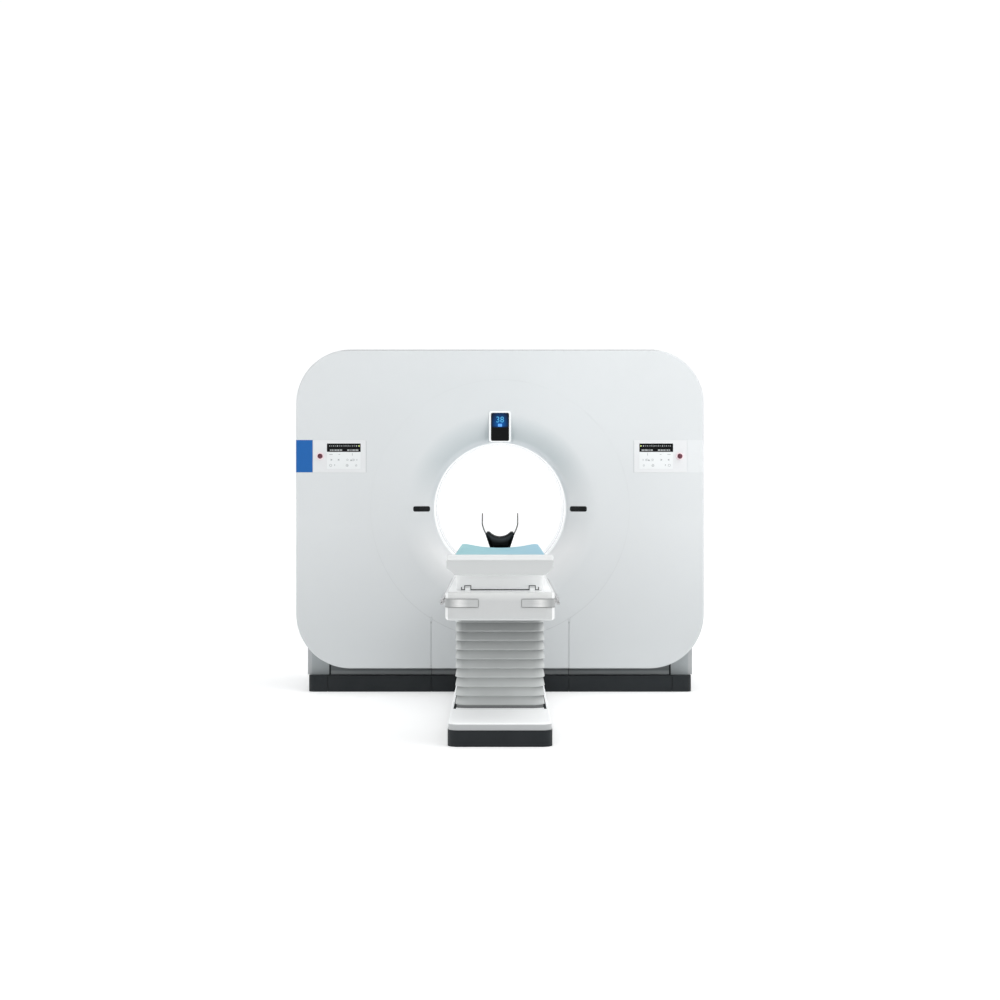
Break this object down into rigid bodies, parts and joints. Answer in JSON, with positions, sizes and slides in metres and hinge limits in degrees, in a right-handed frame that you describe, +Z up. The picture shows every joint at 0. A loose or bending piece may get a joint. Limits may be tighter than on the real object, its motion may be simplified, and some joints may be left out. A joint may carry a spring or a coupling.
{
  "type": "ct scanner",
  "caption": "Ring-shaped scanner gantry with a flared bore and spinning rotor, and a lifting patient table whose padded top slides into the bore.",
  "frame": {"origin": "on the floor, under the point where the rotor's axis crosses the scan plane, which is the middle of the four gantry anchor holes", "axes": "+X to the right seen from the table's foot, +Y along the bore from the table's foot into the gantry, +Z up"},
  "size_m": [2.4516, 3.4525, 2.058],
  "materials": {
    "steel_frame": "powder coat",
    "cast_plate": "painted casting",
    "race_steel": "ground",
    "charcoal": "fine-textured charcoal",
    "grey_cover": "satin grey cover",
    "white_cover": "satin moulded cover",
    "white_mouth": "satin moulded cover, a little cooler",
    "liner_white": "satin",
    "window_film": "translucent film",
    "console_body": "satin",
    "screen_black": "black glass look",
    "keypad_white": "membrane",
    "collar_pale": "satin",
    "signal_red": "gloss",
    "label_blue": "gloss",
    "label_white": "gloss",
    "laser_glass": "smoked",
    "unit_dark": "painted housing",
    "belt_rubber": "matte",
    "rotor_cast": "machined casting",
    "track_brass": "turned",
    "unit_grey": "painted housing",
    "fan_black": "moulded",
    "white_table": "satin moulded cover",
    "bellows_grey": "coated cloth",
    "column_metal": "anodised",
    "deck_white": "painted plate",
    "grip_metal": "brushed",
    "rail_metal": "satin",
    "tabletop_white": "satin",
    "pad_cyan": "vinyl",
    "carbon_black": "satin",
    "foam_black": "vinyl over foam"
  },
  "bodies": {
    "gantry": {"base_frame": "steel_frame", "stator_frame": "cast_plate", "main_bearing": "race_steel", "plinth_center": "charcoal", "plinth_front_left": "charcoal", "plinth_front_right": "charcoal", "plinth_side_left": "charcoal", "plinth_side_right": "charcoal", "side_cover_left": "grey_cover", "side_cover_right": "grey_cover", "top_cover": "grey_cover", "front_cover": "white_cover", "front_ring_cover": "white_mouth", "service_panel": "white_cover", "rear_cover": "white_cover", "rear_ring_cover": "white_mouth", "bore_liner": "liner_white", "scan_window": "window_film", "console_housings": "console_body", "console_screens": "screen_black", "console_keypads": "keypad_white", "estop_collars": "collar_pale", "label_plate": "label_blue", "blank_plate": "label_white", "gantry_display": "screen_black", "laser_windows": "laser_glass", "brush_block": "unit_dark", "drive_motor": "unit_dark", "drive_belt": "belt_rubber", "fan_housings": "fan_black", "table_base_frame": "steel_frame", "table_plinth": "charcoal", "table_base_cover": "white_table", "bellows": "bellows_grey", "lift_column_outer": "column_metal"},
    "rotor": {"rotor_ring": "rotor_cast", "slip_ring": "track_brass", "xray_tube": "unit_grey", "collimator": "unit_dark", "detector_arc": "unit_grey", "hv_generator": "unit_grey", "heat_exchanger": "unit_grey"},
    "motor_shaft": {"motor_pulley": "race_steel"},
    "estop_left": {"estop_button_left": "signal_red"},
    "estop_right": {"estop_button_right": "signal_red"},
    "fan_left": {"fan_rotor_left": "fan_black"},
    "fan_right": {"fan_rotor_right": "fan_black"},
    "column_stage": {"lift_column_middle": "column_metal"},
    "carriage": {"lift_column_inner": "column_metal", "carriage_frame": "steel_frame", "carriage_cover": "white_table", "carriage_deck": "deck_white", "corner_grips": "grip_metal", "accessory_rails": "rail_metal"},
    "tabletop": {"trolley": "white_table", "pallet": "tabletop_white", "pallet_end_cap": "tabletop_white", "mattress": "pad_cyan", "head_holder": "carbon_black", "head_pad": "foam_black"}
  },
  "joints": [
    {"name": "rotor_spin", "type": "hinge", "parent": "gantry", "child": "rotor", "pos_m": [0, 0.135, 1.1], "axis": [0, 1, 0], "continuous": true},
    {"name": "motor_spin", "type": "hinge", "parent": "gantry", "child": "motor_shaft", "pos_m": [0.85192, 0.135, 0.50348], "axis": [0, 1, 0], "continuous": true},
    {"name": "table_lift", "type": "slide", "parent": "gantry", "child": "carriage", "axis": [0, 0, 1], "range_m": [-0.335, 0.115], "deforming": ["bellows"]},
    {"name": "column_stage_lift", "type": "slide", "parent": "gantry", "child": "column_stage", "axis": [0, 0, 1], "range_m": [-0.1675, 0.0575]},
    {"name": "tabletop_slide", "type": "slide", "parent": "carriage", "child": "tabletop", "axis": [0, 1, 0], "range_m": [0, 1.7]},
    {"name": "estop_left_press", "type": "slide", "parent": "gantry", "child": "estop_left", "axis": [0, 1, 0], "range_m": [0, 0.005], "stiffness_N_per_m": 1500},
    {"name": "estop_right_press", "type": "slide", "parent": "gantry", "child": "estop_right", "axis": [0, 1, 0], "range_m": [0, 0.005], "stiffness_N_per_m": 1500},
    {"name": "fan_left_spin", "type": "hinge", "parent": "gantry", "child": "fan_left", "pos_m": [-0.33, 0, 1.96], "axis": [0, 0, 1], "continuous": true},
    {"name": "fan_right_spin", "type": "hinge", "parent": "gantry", "child": "fan_right", "pos_m": [0.33, 0, 1.96], "axis": [0, 0, 1], "continuous": true}
  ],
  "couplings": [
    {"joint": "motor_spin", "follows": "rotor_spin", "ratio": 13.333},
    {"joint": "column_stage_lift", "follows": "table_lift", "ratio": 0.5}
  ]
}
